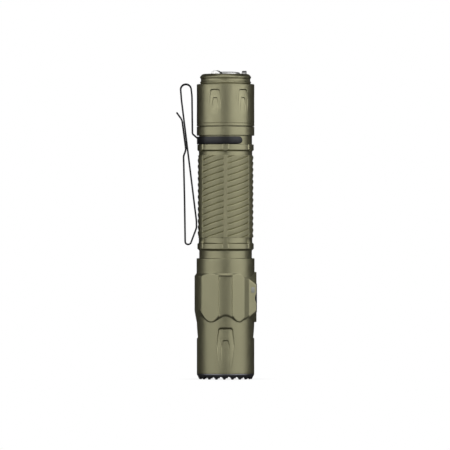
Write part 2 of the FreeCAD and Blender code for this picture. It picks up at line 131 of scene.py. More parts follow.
def rounded(points, radius=0.15, arc=3, loop=True):
    """Outline with a small arc at each corner; a point's third number is its own radius."""
    result = []
    for i, point in enumerate(points):
        here = np.array(point[:2], float)
        own = point[2] if len(point) > 2 else radius
        inside = loop or 0 < i < len(points) - 1
        if not inside or own == 0:
            result.append(here)
            continue
        back = np.array(points[i - 1][:2], float) - here
        on = np.array(points[(i + 1) % len(points)][:2], float) - here
        back_length, on_length = np.linalg.norm(back), np.linalg.norm(on)
        back, on = back / back_length, on / on_length
        half = math.acos(np.clip(back @ on, -1, 1)) / 2
        if half > 1.5:
            result.append(here)
            continue
        setback = min(own / math.tan(half), 0.45 * back_length, 0.45 * on_length)
        centre = here + (back + on) / np.linalg.norm(back + on) * setback / math.cos(half)
        first, last = here + back * setback - centre, here + on * setback - centre
        sweep = math.pi - 2 * half
        for k in range(arc + 1):
            t = k / arc
            spoke = first * math.sin((1 - t) * sweep) + last * math.sin(t * sweep)
            result.append(centre + spoke / math.sin(sweep))
    return result


def filled(outline, gap, z_range=(-FAR, 10 * FAR), r_from=0.0, loop=True):
    """Outline with points added at most gap apart, where it lies in a range of heights and radii."""
    result = []
    ends = list(outline[1:]) + ([outline[0]] if loop else [])
    for a, b in zip(outline, ends):
        result.append(a)
        middle = (a + b) / 2
        if z_range[0] <= middle[1] <= z_range[1] and middle[0] >= r_from:
            count = int(math.ceil(np.linalg.norm(b - a) / gap))
            result += [a + (b - a) * k / count for k in range(1, count)]
    if not loop:
        result.append(outline[-1])
    return result


def guarded(outline, loop=True, near=0.08):
    """Outline with a point close to each end of its long sides, which keeps their shading flat."""
    result = []
    ends = list(outline[1:]) + ([outline[0]] if loop else [])
    for a, b in zip(outline, ends):
        result.append(a)
        long = np.linalg.norm(b - a)
        if long > 0.45:
            result += [a + (b - a) * near / long, b - (b - a) * near / long]
    if not loop:
        result.append(outline[-1])
    return result


def directions(count, fine, step_deg):
    """Directions round the axis, closer together in the fine (middle, half width) ranges in degrees."""
    fixed = [np.arange(m - w, m + w + 1e-9, step_deg) % 360 for m, w in fine]
    coarse = [a for a in np.arange(count) * 360 / count
              if all(abs((a - m + 180) % 360 - 180) > w + 0.3 * step_deg for m, w in fine)]
    return np.radians(np.unique(np.round(np.concatenate(fixed + [coarse]), 6)))


def lathe(outline, count, warp=None, loop=True):
    """
    Points and faces of a turned shape about Z. The outline goes up on the outside. The count is a
    number of equal steps or a list of directions. The warp gets the direction, radius and height of
    every point and gives new radii and heights.
    """
    outline = np.array(guarded(outline, loop), float)
    ways = np.arange(count) * TURN / count if isinstance(count, int) else count
    count = len(ways)
    angle = np.broadcast_to(ways, (len(outline), count))
    r = np.repeat(outline[:, :1], count, 1)
    z = np.repeat(outline[:, 1:], count, 1)
    if warp:
        r, z = warp(angle, r, z)
    points = np.stack([r * np.cos(angle), r * np.sin(angle), z], -1).reshape(-1, 3)
    index = np.arange(len(points)).reshape(r.shape)
    on_axis = outline[:, 0] < 1e-9
    index[on_axis] = index[on_axis][:, :1]
    low = index if loop else index[:-1]
    high = np.roll(index, -1, 0) if loop else index[1:]
    quads = np.stack([low, np.roll(low, -1, 1), np.roll(high, -1, 1), high], -1).reshape(-1, 4)
    return compact(points, quads)


def compact(points, quads):
    """Drops unused points, and doubled corners of a face."""
    used = np.zeros(len(points), bool)
    used[quads.ravel()] = True
    number = np.cumsum(used) - 1
    faces = [tuple(dict.fromkeys(quad)) for quad in number[quads].tolist()]
    return points[used], [face for face in faces if len(face) > 2]


def along_x(shape, z):
    """Turns a shape from the Z axis to the X axis at height z."""
    points, faces = shape
    return points[:, [2, 0, 1]] + np.array([0.0, 0.0, z]), faces


def sweep(stations, normals, sections):
    """Closed strip along stations in the XZ plane; each section is a loop of (sideways Y, normal) points."""
    rings = []
    for station, normal, section in zip(stations, normals, sections):
        base = np.array([station[0], 0.0, station[1]])
        across = np.array([normal[0], 0.0, normal[1]])
        rings.append([base + np.array([0.0, y, 0.0]) + across * t for y, t in section])
    points = np.array(rings).reshape(-1, 3)
    count = len(sections[0])
    index = np.arange(len(points)).reshape(-1, count)
    low, high = index[:-1], index[1:]
    quads = np.stack([low, np.roll(low, -1, 1), np.roll(high, -1, 1), high], -1).reshape(-1, 4)
    caps = [tuple(index[0][::-1].tolist()), tuple(index[-1].tolist())]
    return points, [tuple(quad) for quad in quads.tolist()] + caps


def mesh_object(name, shape, smooth=32.0):
    points, faces = shape
    mesh = bpy.data.meshes.new(name)
    mesh.from_pydata((points * MM).tolist(), [], faces)
    mesh.validate()
    piece = bpy.data.objects.new(name, mesh)
    bpy.context.scene.collection.objects.link(piece)
    soften(piece, smooth)
    return piece


def soften(piece, angle):
    """Smooth shading that stays sharp at edges over the angle, in degrees."""
    piece.data.shade_smooth()
    piece.data.set_sharp_from_angle(angle=math.radians(angle))


def combine(piece, shape, operation, smooth=32.0):
    """Cuts a shape out of a piece, or joins it on."""
    tool = mesh_object("tool", shape)
    modifier = piece.modifiers.new("combine", "BOOLEAN")
    modifier.operation = operation
    modifier.object = tool
    modifier.solver = "EXACT"
    graph = bpy.context.evaluated_depsgraph_get()
    result = bpy.data.meshes.new_from_object(piece.evaluated_get(graph))
    piece.modifiers.clear()
    piece.data = result
    bpy.data.objects.remove(tool)
    soften(piece, smooth)


def place(piece, material, body, nodes=()):
    """Gives a finished piece its material slot and body, and hides the CAD nodes it stands for."""
    piece.data.materials.clear()
    piece.data.materials.append(material)
    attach(piece, body)
    if nodes:
        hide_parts(*nodes)
    return piece


def wrap(angle):
    return (angle + math.pi) % TURN - math.pi


def arch(angle, r, z, middles, ends, halves, deep, corner, walls):
    """
    Sinks arch-shaped pockets into a round surface. The ends are the heights of the arch's closed
    end, its widest place and its open end, where the floor comes out at the surface, and the halves
    are the half widths there. The walls slope over a width at the sides and one at the closed end.
    """
    closed, widest, far = ends
    way = 1.0 if closed > widest else -1.0
    down = np.clip((z - widest) / (far - widest), 0.0, 1.0)
    up = np.clip((z - widest) / (closed - widest), 0.0, 1.0)
    half = halves[1] + (halves[0] - halves[1]) * up ** 1.3 + (halves[2] - halves[1]) * down ** 1.6
    sunk = np.clip((z - far) / (closed - far), 0.0, 1.0) ** 1.5 * deep
    past_end = way * (z - closed) + corner
    for middle in middles:
        turned = wrap(angle - middle)
        past_side = np.abs(r * np.sin(turned)) + 10.0 * (np.abs(turned) > 1.0) - half + corner
        outside = np.hypot(np.maximum(past_side, 0.0), np.maximum(past_end, 0.0))
        depth = corner - outside - np.minimum(np.maximum(past_side, past_end), 0.0)
        endward = np.maximum(past_end, 0.0) / (outside + 0.01)
        wall = walls[0] * (1 - 0.5 * down) + (walls[1] - walls[0]) * endward
        r = r - sunk * step(depth / wall)
    return r


def raise_lugs(angle, r, z, edge, wall):
    """
    Raises lugs in line with the grip's plain strips. The edge gives their half width at each height,
    and the wall is the width of the slope round them.
    """
    edge_z, edge_half = zip(*edge)
    half = np.interp(z, edge_z, edge_half)
    ends = step((edge_z[-1] - z) / wall + 0.5) * step((z - edge_z[0]) / wall + 0.5)
    for i in range(PANELS):
        turned = wrap(angle - FRONT - TURN * i / PANELS)
        aside = np.abs(RING_R * turned)
        inside = step((half - aside) / wall + 0.5) * ends
        r = r + inside * np.maximum(LUG_R - r, 0.0)
    return r


# ---------------------------------------------------------------- materials

def node_tools(name):
    material = bpy.data.materials.new(name)
    material.use_nodes = True
    nodes, links = material.node_tree.nodes, material.node_tree.links
    shader = nodes["Principled BSDF"]
    return material, nodes, links, shader


def noise(nodes, links, coordinates, per_mm, detail=3.0, stretch=None, roughness=0.55):
    """Noise texture with per_mm features to a millimetre; stretch scales the axes apart."""
    texture = nodes.new("ShaderNodeTexNoise")
    texture.inputs["Scale"].default_value = per_mm / MM
    texture.inputs["Detail"].default_value = detail
    texture.inputs["Roughness"].default_value = roughness
    source = coordinates
    if stretch:
        mapping = nodes.new("ShaderNodeMapping")
        mapping.inputs["Scale"].default_value = stretch
        links.new(coordinates, mapping.inputs["Vector"])
        source = mapping.outputs["Vector"]
    links.new(source, texture.inputs["Vector"])
    return texture.outputs["Fac"]


def spread(nodes, links, value, low, high, to_low, to_high):
    """Maps a range of a value to another range."""
    node = nodes.new("ShaderNodeMapRange")
    for socket, number in zip(("From Min", "From Max", "To Min", "To Max"), (low, high, to_low, to_high)):
        node.inputs[socket].default_value = number
    links.new(value, node.inputs["Value"])
    return node.outputs["Result"]


def mixed(nodes, links, factor, first, second):
    """Mix of two colours; either may be a socket."""
    node = nodes.new("ShaderNodeMix")
    node.data_type = "RGBA"
    links.new(factor, node.inputs["Factor"])
    for colour, socket in ((first, node.inputs[6]), (second, node.inputs[7])):
        if isinstance(colour, tuple):
            socket.default_value = colour + (1.0,)
        else:
            links.new(colour, socket)
    return node.outputs[2]


def bumped(nodes, links, shader, height, depth_mm, strength=1.0):
    bump = nodes.new("ShaderNodeBump")
    bump.inputs["Strength"].default_value = strength
    bump.inputs["Distance"].default_value = depth_mm * MM
    links.new(height, bump.inputs["Height"])
    links.new(bump.outputs["Normal"], shader.inputs["Normal"])
    return bump


def shade(colour, factor):
    return tuple(c * factor for c in colour)


def metal(name, colour, roughness, grain=0.05, edge_wear_and_highlight=0.0, turned=0.0, metallic=1.0, vary=0.10, blotch=0.35):
    """
    Machined metal: blotches of tone, a fine grain in the relief, turning lines round Z, and
    edges painted lighter, partly as worn metal and partly as a painted edge highlight.
    """
    material, nodes, links, shader = node_tools(name)
    place_at = nodes.new("ShaderNodeTexCoord").outputs["Object"]
    patches = noise(nodes, links, place_at, blotch, 4.0)
    speckle = noise(nodes, links, place_at, 6.0, 2.0)
    tone = mixed(nodes, links, patches, shade(colour, 1 - vary), shade(colour, 1 + vary))
    fine = spread(nodes, links, speckle, 0.35, 0.65, 0.0, 1.0)
    tone = mixed(nodes, links, fine, shade(colour, 1 - vary / 2), tone)
    # Sharp edges, found by pointiness, get a lighter colour: partly worn metal, partly a painted edge
    # highlight.
    if edge_wear_and_highlight:
        edges = nodes.new("ShaderNodeNewGeometry").outputs["Pointiness"]
        rubbed_and_highlit = spread(nodes, links, edges, 0.53, 0.62, 0.0, edge_wear_and_highlight)
        tone = mixed(nodes, links, rubbed_and_highlit, tone, shade(colour, 1.55))
    links.new(tone, shader.inputs["Base Color"])
    shader.inputs["Metallic"].default_value = metallic
    rough = spread(nodes, links, patches, 0.3, 0.7, roughness - 0.04, roughness + 0.05)
    links.new(rough, shader.inputs["Roughness"])
    relief = speckle
    depth = grain
    if turned:
        lines = noise(nodes, links, place_at, 9.0, 2.0, stretch=(0.01, 0.01, 1.0))
        relief = mixed(nodes, links, spread(nodes, links, lines, 0.0, 1.0, turned, turned), speckle, lines)
    bumped(nodes, links, shader, relief, depth)
    return material


def plastic(name, colour, roughness=0.5, grain=0.02, vary=0.08, sheen=0.0):
    material, nodes, links, shader = node_tools(name)
    place_at = nodes.new("ShaderNodeTexCoord").outputs["Object"]
    patches = noise(nodes, links, place_at, 0.5)
    fine = noise(nodes, links, place_at, 5.0)
    tone = mixed(nodes, links, patches, shade(colour, 1 - vary), shade(colour, 1 + vary))
    links.new(tone, shader.inputs["Base Color"])
    uneven = spread(nodes, links, fine, 0.3, 0.7, roughness - 0.05, roughness + 0.05)
    links.new(uneven, shader.inputs["Roughness"])
    shader.inputs["Sheen Weight"].default_value = sheen
    bumped(nodes, links, shader, fine, grain)
    return material


def clear(name, colour, roughness, coat=0.0):
    """Glass or clear plastic, with faint clouding in its polish."""
    material, nodes, links, shader = node_tools(name)
    place_at = nodes.new("ShaderNodeTexCoord").outputs["Object"]
    cloud = noise(nodes, links, place_at, 0.2)
    shader.inputs["Base Color"].default_value = colour + (1.0,)
    shader.inputs["Transmission Weight"].default_value = 1.0
    shader.inputs["IOR"].default_value = 1.5
    shader.inputs["Coat Weight"].default_value = coat
    links.new(spread(nodes, links, cloud, 0.3, 0.7, roughness, roughness + 0.03), shader.inputs["Roughness"])
    return material


def circuit(name, mask, trace):
    """Solder mask over traces, in a fine broken pattern."""
    material, nodes, links, shader = node_tools(name)
    place_at = nodes.new("ShaderNodeTexCoord").outputs["Object"]
    cells = nodes.new("ShaderNodeTexVoronoi")
    cells.inputs["Scale"].default_value = 0.8 / MM
    cells.distance = "CHEBYCHEV"
    links.new(place_at, cells.inputs["Vector"])
    tracks = spread(nodes, links, cells.outputs["Distance"], 0.42, 0.46, 0.0, 1.0)
    links.new(mixed(nodes, links, tracks, mask, trace), shader.inputs["Base Color"])
    shader.inputs["Roughness"].default_value = 0.35
    bumped(nodes, links, shader, tracks, 0.03)
    return material


OLIVE = (0.36, 0.345, 0.218)
MATERIALS = {
    "anodised_head": metal("anodised_head", OLIVE, 0.40, grain=0.012, edge_wear_and_highlight=0.5, turned=0.35, metallic=0.92),
    "anodised_tube": metal("anodised_tube", shade(OLIVE, 1.03), 0.40, grain=0.012, edge_wear_and_highlight=0.5, turned=0.35,
                           metallic=0.92),
    # The grip's material is the same olive anodising painted 1.32 times lighter, painted light for how
    # brightly its bands catch the light.
    "anodised_grip_painted_lighter": metal("anodised_grip_painted_lighter", shade(OLIVE, 1.32), 0.46, grain=0.010, edge_wear_and_highlight=0.4, metallic=0.9),
    "bezel_steel": metal("bezel_steel", (0.24, 0.24, 0.26), 0.34, grain=0.004, edge_wear_and_highlight=0.2, turned=0.5),
    "clip_steel": metal("clip_steel", (0.040, 0.040, 0.043), 0.36, grain=0.002, metallic=0.7),
    "polished_steel": metal("polished_steel", (0.92, 0.92, 0.91), 0.36, grain=0.002, turned=0.6, vary=0.04),
    "spring_steel": metal("spring_steel", (0.62, 0.61, 0.58), 0.25, grain=0.004),
    "switch_ring": metal("switch_ring", (0.06, 0.06, 0.062), 0.30, grain=0.004, edge_wear_and_highlight=0.3, metallic=0.8),
    "switch_metal": metal("switch_metal", (0.20, 0.20, 0.205), 0.28, grain=0.006, edge_wear_and_highlight=0.2),
    "brass": metal("brass", (0.78, 0.58, 0.25), 0.22, grain=0.004, turned=0.4),
    "cell_can": metal("cell_can", (0.68, 0.68, 0.67), 0.28, grain=0.004, turned=0.3),
    "cell_cap": metal("cell_cap", (0.72, 0.71, 0.68), 0.22, grain=0.004),
    "components": metal("components", (0.35, 0.34, 0.32), 0.35, grain=0.01, metallic=0.5),
    "cell_wrap": plastic("cell_wrap", (0.05, 0.09, 0.16), 0.35, grain=0.01),
    "seal_rubber": plastic("seal_rubber", (0.02, 0.02, 0.02), 0.6, grain=0.02, sheen=0.1),
    "black_plastic": plastic("black_plastic", (0.03, 0.03, 0.03), 0.45),
    "white_plastic": plastic("white_plastic", (0.75, 0.74, 0.70), 0.4),
    "lead_wire": plastic("lead_wire", (0.45, 0.04, 0.03), 0.45),
    "window_glass": clear("window_glass", (0.96, 0.98, 0.98), 0.0, coat=0.5),
    "optic_plastic": clear("optic_plastic", (0.98, 0.98, 0.98), 0.02),
    "indicator_lens": plastic("indicator_lens", (0.42, 0.43, 0.38), 0.15, grain=0.002),
    "emitter": plastic("emitter", (0.85, 0.72, 0.12), 0.3),
    "copper_board": metal("copper_board", (0.75, 0.42, 0.28), 0.3, grain=0.004),
    "circuit_board": circuit("circuit_board", (0.02, 0.10, 0.04), (0.05, 0.22, 0.08)),
}


# ---------------------------------------------------------------- head

def make_bezel():
    """Crowned ring; scallops in its edge leave narrow teeth with rounded corners."""
    teeth = 20
    scallop_r = 1.45
    tooth_depth = 1.2
    tooth_turn = math.radians(-2.5)
    stretch_z = 1.9
    outside = rounded([(11.3, 0.0, 0.12), (11.9, 0.0, 0.15), (12.3, 0.9), (12.82, 1.8), (BEZEL_R, 2.15),
                       (BEZEL_R, SEAM_Z, 0.06), (12.2, SEAM_Z, 0), (12.2, 7.2, 0), (11.6, 7.2, 0),
                       (11.6, 3.3, 0), (10.6, 3.3), (10.6, 2.6)])
    outline = filled(outside, 0.16, (0.0, stretch_z), 10.7)

    def scallops(angle, r, z):
        turned = wrap((angle - FRONT - tooth_turn) * teeth - math.pi) / teeth
        aside = 12.0 * turned
        notch = tooth_depth - scallop_r + np.sqrt(np.maximum(scallop_r ** 2 - aside ** 2, 0.0))
        notch = soft_max(notch, np.zeros_like(notch), 0.25)
        lifted = notch + z * (stretch_z - notch) / stretch_z
        new_z = np.where(z < stretch_z, lifted, z)
        outer = np.interp(new_z, [0.0, 0.9, 1.8, 2.15], [11.9, 12.3, 12.82, BEZEL_R])
        was = np.interp(z, [0.0, 0.9, 1.8, 2.15], [11.9, 12.3, 12.82, BEZEL_R])
        inner = np.interp(new_z, [0.0, 2.6], [11.3, 10.6])
        inner_was = np.interp(z, [0.0, 2.6], [11.3, 10.6])
        share = np.clip((r - inner_was) / np.maximum(was - inner_was, 0.1), 0.0, 1.0)
        moved = r + (outer - was) * share + (inner - inner_was) * (1 - share)
        return np.where(z < stretch_z, moved, r), new_z

    piece = mesh_object("bezel", lathe(outline, teeth * 20, scallops))
    place(piece, MATERIALS["bezel_steel"], "light", ["strike_bezel"])


def make_barrel():
    """Round front part of the head, with an arch front and back and a scoop on each side."""
    solid = [(0, 18.0), (10.9, 18.0, 0), (10.9, 7.4, 0), (12.25, 7.4, 0), (12.25, SEAM_Z + 0.02, 0),
             (BARREL_R, SEAM_Z + 0.02, 0.15), (BARREL_R, BARREL_TOP - 0.01, 0), (BARREL_R, BARREL_TOP, 0),
             (10.9, BARREL_TOP, 0), (10.9, 22.5, 0),
             (0, 22.5)]
    outline = filled(rounded(solid, 0.2, loop=False), 0.15, (2.9, BARREL_TOP), 12.9, loop=False)
    around = directions(120, [(-90, 19), (90, 19), (0, 18), (180, 18)], 0.36)

    def pockets(angle, r, z):
        outer = r > 12.9
        cut = arch(angle, r, z, (FRONT, BACK), (23.5, 15.5, 3.4), (3.15, 4.05, 2.3), 0.75, 1.1, (0.36, 0.9))
        cut = arch(angle, cut, z, (FRONT, BACK), (17.8, 14.5, 3.3), (1.25, 1.95, 1.6), 0.4, 0.5, (0.3, 0.5))
        cut = arch(angle, cut, z, (0.0, math.pi), (18.3, 21.0, 25.5), (3.3, 3.8, 2.4), 0.5, 0.9, (0.35, 0.5))
        return np.where(outer, cut, r), z

    piece = mesh_object("head_barrel", lathe(outline, around, pockets, loop=False))
    place(piece, MATERIALS["anodised_head"], "light", ["head_housing"])


def plane_radius(angle, z, normal, through):
    """Distance from the axis at which each direction meets a plane."""
    toward = normal[0] * np.cos(angle) + normal[1] * np.sin(angle)
    reach = np.dot(normal, through) - normal[2] * z
    return np.where(toward > 0.05, reach / np.maximum(toward, 0.05), FAR)


def collar_radius(angle, z):
    """Milled outside of the collar and neck: flats, flutes and the switch boss."""
    side = np.abs(wrap(angle))
    edge = 0.22
    body = np.interp(z, [46.5, COLLAR_TOP], [COLLAR_R, NECK_R])
    for flat in (60.0, 120.0):
        facing = np.cos(side - math.radians(flat))
        flat_r = FLAT_APOTHEM / np.maximum(facing, 0.3)
        body = soft_min(body, flat_r, edge)
    fluted = step((FLUTE_HALF - np.abs(np.cos(angle)) * FLUTE_R) / 0.2 + 0.5) * step((46.7 - z) / 0.2 + 0.5)
    body = body - fluted * np.maximum(body - FLUTE_R, 0.0)
    # The boss: a strip beside each flat, a flank and the outer face.
    root = (8.5, (FLAT_APOTHEM - 8.5 * 0.5) / math.cos(math.radians(30)))
    valley = (10.6, 8.0)
    corner = (BOSS_FACE_X, BOSS_HALF_Y)
    strip_way = np.array([root[1] - valley[1], valley[0] - root[0]])
    strip_way = strip_way / np.linalg.norm(strip_way)
    flank_way = np.array([valley[1] - corner[1], corner[0] - valley[0]])
    flank_way = flank_way / np.linalg.norm(flank_way)
    toward_strip = np.maximum(np.cos(side) * strip_way[0] + np.sin(side) * strip_way[1], 0.2)
    toward_flank = np.maximum(np.cos(side) * flank_way[0] + np.sin(side) * flank_way[1], 0.2)
    strip_r = np.dot(strip_way, valley) / toward_strip
    flank_r = np.dot(flank_way, valley) / toward_flank
    face_r = BOSS_FACE_X / np.maximum(np.cos(side), 0.2)
    boss = soft_min(soft_max(strip_r, flank_r, 0.12), face_r, 0.35)
    lip = 0.3
    from_end = np.minimum(z - BARREL_TOP, BOSS_TOP_Z - z)
    inset = lip - np.sqrt(np.maximum(lip ** 2 - np.clip(lip - from_end, 0.0, lip) ** 2, 0.0))
    boss = np.where(from_end > 0, boss - inset, 0.0)
    root_side = math.atan2(root[1], root[0])
    on_boss = side < root_side
    collar = np.where(on_boss, boss, np.where(z < COLLAR_TOP, body, 0.0))
    # Four sloping planes cut the boss's corners off.
    reach = np.array([BOSS_FACE_X, BOSS_HALF_Y + 0.1, 5.6])
    for up in (-1.0, 1.0):
        through = np.array([reach[0], reach[1], SWITCH_Z + up * reach[2]])
        trimmed = plane_radius(side, z, np.array([0.70, 0.56, 0.43 * up]), through)
        collar = soft_min(collar, np.minimum(trimmed, FAR), edge)
    # The lower end is milled along a wave, low on each flat and high between the flats.
    from_front = np.degrees(np.abs(side - math.pi / 2))
    wave = 27.05 + 1.35 * np.cos(6 * np.radians(np.minimum(from_front, 60.0)))
    toward_side = step((from_front - 58.0) / 24.0)
    wave = wave + (25.2 - wave) * toward_side
    slope = 0.63 - 0.25 * np.cos(6 * np.radians(np.minimum(from_front, 60.0))) - 0.19 * toward_side
    milled = BARREL_R - 0.03 + slope * (z - wave)
    collar = collar - step((np.degrees(side) - 35.0) / 4.0) * (collar - soft_min(collar, milled, 0.1))
    base = np.where(z < 31.0, BARREL_R, np.where(z > 44.5, NECK_R, 0.0))
    return soft_max(collar, base, 0.05)


def make_collar():
    """Head collar: neck, milled boss with flats and flutes, and the counterbore for the side switch."""
    nominal, row_gap = 13.5, 0.21
    solid = [(10.9, BARREL_TOP), (nominal, BARREL_TOP), (nominal, HEAD_HIGH, 0.3), (12.15, HEAD_HIGH, 0.1),
             (12.15, 52.6), (12.0, 52.6), (12.0, 43.6), (10.9, 43.6)]
    outline = rounded(solid, 0)
    outline = filled(outline, row_gap, (BARREL_TOP + 0.01, HEAD_HIGH - 0.4), nominal - 0.01)
    # The plain neck above the boss keeps one row in four; the boss's two ends get rows of their own.
    outline = [p for p in outline if p[0] <= 13.4 or p[1] <= BOSS_TOP_Z + 0.4
               or p[1] > HEAD_HIGH - 0.6 or int(p[1] / row_gap) % 4 == 0]
    boss_rows = [BARREL_TOP + up for up in (0.02, 0.06, 0.13)]
    boss_rows += [BOSS_TOP_Z + up for up in (-0.13, -0.06, -0.02, -0.0005, 0.0005)]
    outside = [p for p in outline if p[0] > 12.5] + [np.array([nominal, z]) for z in boss_rows]
    outside.sort(key=lambda p: (p[1], -p[0]))
    inside = [p for p in outline if p[0] <= 12.5]
    first = [p for p in inside if p[1] < BARREL_TOP + 0.01]
    rest = [p for p in inside if p[1] >= BARREL_TOP + 0.01]
    outline = first + outside + rest

    def milled(angle, r, z):
        outer = r > 12.5
        return np.where(outer, collar_radius(angle, z) + r - nominal, r), z

    piece = mesh_object("head_collar", lathe(outline, 560, milled))
    counterbore = [(0, 6.0), (4.0, 6.0), (4.0, 11.3), (6.5, 11.3), (6.5, 18.0), (0, 18.0)]
    cutter = lathe(rounded(counterbore, 0, loop=False), 96, loop=False)
    combine(piece, along_x(cutter, SWITCH_Z), "DIFFERENCE")
    place(piece, MATERIALS["anodised_head"], "light", ["head_housing"])


def make_side_switch():
    """Round button with a dished face and fine rings, in a black ring."""
    ring_low, ring_high = span("side_button_ring")
    button_low = span("side_button")[0]
    low, high = ring_low[0], ring_high[0]
    ring = rounded([(5.26, 12.7, 0), (5.98, 12.7, 0), (5.98, low, 0), (6.45, low, 0), (6.45, high, 0.12),
                    (5.9, high, 0.1), (5.26, high - 0.25, 0.1)], 0.1)
    piece = mesh_object("side_switch_ring", along_x(lathe(ring, 128), SWITCH_Z))
    place(piece, MATERIALS["switch_ring"], "light", ["side_button_ring"])

    top = BOSS_FACE_X + 0.08
    stem = [(0, button_low[0]), (1.5, button_low[0], 0.1), (1.5, 12.05, 0), (5.9, 12.05, 0.05),
            (5.9, 12.62, 0.05), (5.2, 12.62, 0), (5.2, top, 0.2), (4.5, top - 0.03, 0.1),
            (4.2, top - 0.18, 0.1), (2.0, top - 0.32, 0.5), (0, top - 0.36)]
    outline = filled(rounded(stem, 0.1, loop=False), 0.12, (top - 0.5, top), 0.3, loop=False)

    def rings(angle, r, z):
        on_dish = step((4.1 - r) / 0.2) * step((r - 0.9) / 0.2) * (z > top - 0.5)
        return r, z - 0.05 * on_dish * (0.5 + 0.5 * np.cos(r * TURN / 0.52))

    piece = mesh_object("side_switch_button", along_x(lathe(outline, 128, rings, loop=False), SWITCH_Z))
    place(piece, MATERIALS["switch_metal"], "side_button", ["side_button"])


def make_indicator():
    """Small rounded light window on the front flank of the boss."""
    half_width, half_height, bulge = 0.87, 1.27, 0.06
    corner = 0.5
    rim = []
    for quarter in range(4):
        centre = np.array([(half_width - corner) * (1, -1, -1, 1)[quarter],
                           (half_height - corner) * (1, 1, -1, -1)[quarter]])
        for k in range(7):
            turn = TURN * (quarter + k / 6) / 4
            rim.append(centre + corner * np.array([math.cos(turn), math.sin(turn)]))
    rim = np.array(rim)
    layers = [(-0.5, 1.0), (-0.02, 1.0), (0.02, 0.96), (bulge * 0.7, 0.7), (bulge, 0.35)]
    points = [[depth, s[0] * size, s[1] * size] for depth, size in layers for s in rim]
    count = len(rim)
    faces = [tuple(reversed(range(count)))]
    for layer in range(len(layers) - 1):
        for k in range(count):
            a, b = layer * count + k, layer * count + (k + 1) % count
            faces.append((a, b, b + count, a + count))
    faces.append(tuple(range((len(layers) - 1) * count, len(layers) * count)))
    turn = FRONT + math.radians(30)
    points = np.array(points)
    x = points[:, 0] * math.cos(turn) - points[:, 1] * math.sin(turn)
    y = points[:, 0] * math.sin(turn) + points[:, 1] * math.cos(turn)
    flank = PANE + 0.3 * np.array([math.cos(turn), math.sin(turn), 0.0])
    piece = mesh_object("indicator", (np.stack([x, y, points[:, 2]], -1) + flank, faces))
    place(piece, MATERIALS["indicator_lens"], "light", ["indicator_window"])


# ---------------------------------------------------------------- tube

def threaded(angle, r, z, z_low, z_high):
    """Single-start thread cut into the rows between two heights."""
    depth = 0.36
    turn = (z / THREAD_PITCH - angle / TURN) % 1.0
    tooth = np.clip(1.6 * (0.5 - np.abs(turn - 0.5)) * 2 - 0.3, 0.0, 1.0)
    fade = step((z - z_low) / 0.5) * step((z_high - z) / 0.5)
    return np.where(np.abs(r - THREAD_R) < 0.01, r - depth * (1 - tooth) * fade, r)


def make_tube_lower():
    """Head end of the tube: thread, seal groove, bare band and the lower knuckle ring."""
    seam = GRIP_Z[0]
    solid = [(CELL_BORE_R, TUBE_LOW), (THREAD_R, TUBE_LOW, 0), (THREAD_R, 52.4, 0), (RELIEF_R, 52.7),
             (RELIEF_R, 53.0), (11.35, 53.0), (11.35, 54.1), (RELIEF_R, 54.1), (RELIEF_R, 54.45),
             (TUBE_R, 54.6), (TUBE_R, 57.85, 0.3), (RELIEF_R, 58.2, 0.1), (RING_R, 58.75, 0.2),
             (RING_R, 61.0, 0.2), (RELIEF_R + 0.05, 61.5, 0.2), (RELIEF_R + 0.05, seam, 0),
             (CELL_BORE_R, seam, 0)]
    outline = rounded(solid, 0.1)
    outline = filled(outline, 0.12, (TUBE_LOW, 52.4), THREAD_R - 0.01)
    outline = filled(outline, 0.2, (57.9, 62.3), RELIEF_R - 0.1)
    edge = [(58.5, 0.9), (58.9, 1.35), (61.0, 1.35), (61.9, 0.65)]

    def worked(angle, r, z):
        r = threaded(angle, r, z, TUBE_LOW + 0.2, 52.3)
        lugged = raise_lugs(angle, r, z, edge, 0.3)
        return np.where((z > 58.0) & (r > RELIEF_R - 0.05), lugged, r), z

    piece = mesh_object("tube_lower", lathe(outline, 360, worked))
    place(piece, MATERIALS["anodised_tube"], "light", ["battery_tube"])


